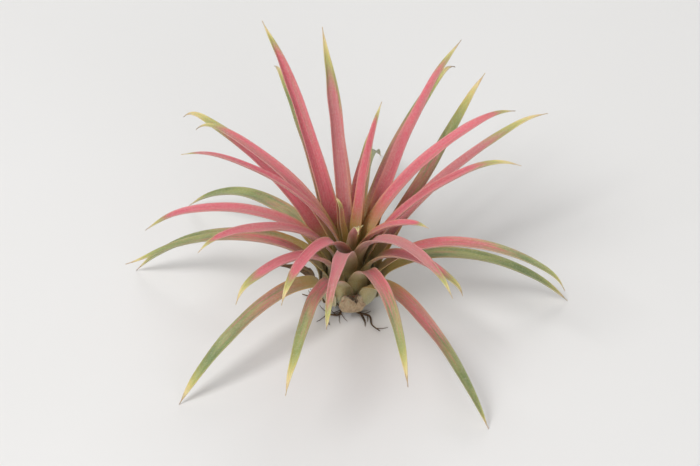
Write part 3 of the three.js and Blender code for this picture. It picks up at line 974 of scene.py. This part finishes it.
def main_root(number):
    """The path of a root that leaves the foot of the stem and wanders out along the surface."""
    draw = draws(seed_of(ROOT_SEEDS, number))
    azimuth = (number + mix(-ROOT_TURN, ROOT_TURN, draw())) * 2 * math.pi / ROOTS
    outward = Vector((math.cos(azimuth), math.sin(azimuth), 0))
    sideways = Vector((-math.sin(azimuth), math.cos(azimuth), 0))
    reach = mix(*ROOT_REACH, draw())
    start_out, start_up = ROOT_START
    knots = []
    for along in ROOT_KNOTS:
        off = along * mix(-ROOT_WANDER, ROOT_WANDER, draw())
        knot = outward * mix(start_out, reach, along) + sideways * off
        descent = float(ramp(along, 0, ROOT_DESCENT))
        knot.z = mix(start_up, ROOT_RADIUS * ROOT_CLEARANCE, descent)
        knots.append(knot)
    return root_path(knots, ROOT_STEPS)


def twig_path(root, draw):
    """The path of a twig that leaves a root to one side and comes down to the surface."""
    start = int(mix(*TWIG_PLACES, draw()))
    origin = root[start]
    along = (root[start + TWIG_HEADING] - origin).normalized()
    off = Vector((-along.y, along.x, 0)) * (1 if draw() > 0.5 else -1)
    length = mix(*TWIG_LENGTH, draw())
    path = []
    for step in range(TWIG_STEPS + 1):
        t = step / TWIG_STEPS
        sway = TWIG_SWAY * math.sin(TWIG_SWING * t + TWIG_JOLT * draw())
        point = origin + (off * t + along * (TWIG_SLANT * t + sway * t)) * length
        point.z = mix(origin.z, TWIG_RADIUS, t)
        path.append(point)
    return path


def root_skins(number):
    """A root and its twigs, each a mesh of its own."""
    root = main_root(number)
    radii = [ROOT_RADIUS * mix(1, ROOT_TAPER, step / ROOT_STEPS) for step in range(ROOT_STEPS + 1)]
    thin = [TWIG_RADIUS * mix(1, TWIG_TAPER, step / TWIG_STEPS) for step in range(TWIG_STEPS + 1)]
    skins = [skin_mesh("root", tube_rings(root, radii, ROOT_SIDES, number), {}, {})]
    draw = draws(seed_of(TWIG_SEEDS, number))
    for _ in range(TWIGS):
        rings = tube_rings(twig_path(root, draw), thin, TWIG_SIDES, number + 0.5)
        skins.append(skin_mesh("twig", rings, {}, {}))
    return skins


def stem_rings():
    """The stem from the middle of its foot to the top of its head, scarred by lost leaves."""
    profile = [(AXIS_RADIUS, 0)] + [(FOOT_RADIUS * share, 0) for share in FOOT_RINGS]
    for step in range(STEM_STEPS):
        lean = math.radians(mix(UNDERCUT, TOP_RING, step / (STEM_STEPS - 1)))
        profile.append((HEAD_RADIUS * math.sin(lean), HEAD_HEIGHT + HEAD_RADIUS * math.cos(lean)))
    rings = []
    for radius, height in profile:
        ring = []
        for side in range(STEM_SIDES):
            angle = -side * 2 * math.pi / STEM_SIDES
            x, y = math.cos(angle), math.sin(angle)
            pits = abs(noise.noise(Vector((x * PITS_ROUND, y * PITS_ROUND, height * PITS_UP))))
            scars = 1 + math.sin(height * SCARS_UP + SCAR_SWING * math.sin(angle * SCAR_LOBES))
            dent = (PIT_DEPTH * pits + SCAR_DEPTH * scars) * float(ramp(height, *CUT_EDGE))
            left = max(radius - dent, AXIS_RADIUS)
            ring.append((x * left, y * left, height))
        rings.append(ring)
    return np.array(rings)


def join_meshes(name, meshes):
    points, faces = [], []
    for mesh in meshes:
        start = len(points)
        points += [tuple(v.co) for v in mesh.vertices]
        faces += [[start + k for k in f.vertices] for f in mesh.polygons]
        bpy.data.meshes.remove(mesh)
    whole = bpy.data.meshes.new(name)
    whole.from_pydata(points, [], faces)
    whole.shade_smooth()
    return whole


def make_rootstock():
    skins = [skin_mesh("stem", stem_rings(), {}, {})]
    for number in range(ROOTS):
        skins += root_skins(number)
    whole = join_meshes("skin_rootstock", skins)
    add_piece("skin_rootstock", whole, bark_paint(), "rootstock")


def make_stage():
    corners = [(x * FLOOR_REACH, y * FLOOR_REACH, 0) for x, y in ((-1, -1), (1, -1), (1, 1), (-1, 1))]
    mesh = bpy.data.meshes.new("floor")
    mesh.from_pydata(corners, [], [range(len(corners))])
    mesh.materials.append(floor_paint())
    floor = bpy.data.objects.new("floor", mesh)
    bpy.context.scene.collection.objects.link(floor)


def facing(place, target):
    """The rotation of a light or camera at place that looks at target, upright."""
    return (Vector(target) - Vector(place)).to_track_quat("-Z", "Y").to_euler()


def make_lights():
    for name, kind in LIGHTS.items():
        light = bpy.data.lights.new(name, "AREA")
        light.shape = "SQUARE"
        light.size = kind["size"]
        light.energy = kind["power"]
        lamp = bpy.data.objects.new(name, light)
        lamp.location = kind["place"]
        lamp.rotation_euler = facing(kind["place"], LIT_POINT)
        bpy.context.scene.collection.objects.link(lamp)
    world = bpy.data.worlds.new("studio")
    world.use_nodes = True
    sky = world.node_tree.nodes["Background"]
    sky.inputs["Color"].default_value = SKY_COLOUR
    sky.inputs["Strength"].default_value = SKY_STRENGTH
    bpy.context.scene.world = world
    bpy.context.scene.view_settings.view_transform = "Standard"


def make_camera():
    elevation = math.radians(VIEW_ELEVATION)
    way = Vector((0, -math.cos(elevation), math.sin(elevation)))
    camera = bpy.data.cameras.new("camera")
    camera.sensor_width = SENSOR_WIDTH
    camera.lens = LENS
    eye = bpy.data.objects.new("camera", camera)
    eye.location = Vector(VIEWED_POINT) + VIEW_DISTANCE * way
    eye.rotation_euler = facing(eye.location, VIEWED_POINT)
    bpy.context.scene.collection.objects.link(eye)
    bpy.context.scene.camera = eye


make_camera()
make_leaves()
make_dry_leaves()
make_rootstock()
make_stage()
make_lights()
bpy.context.view_layer.update()
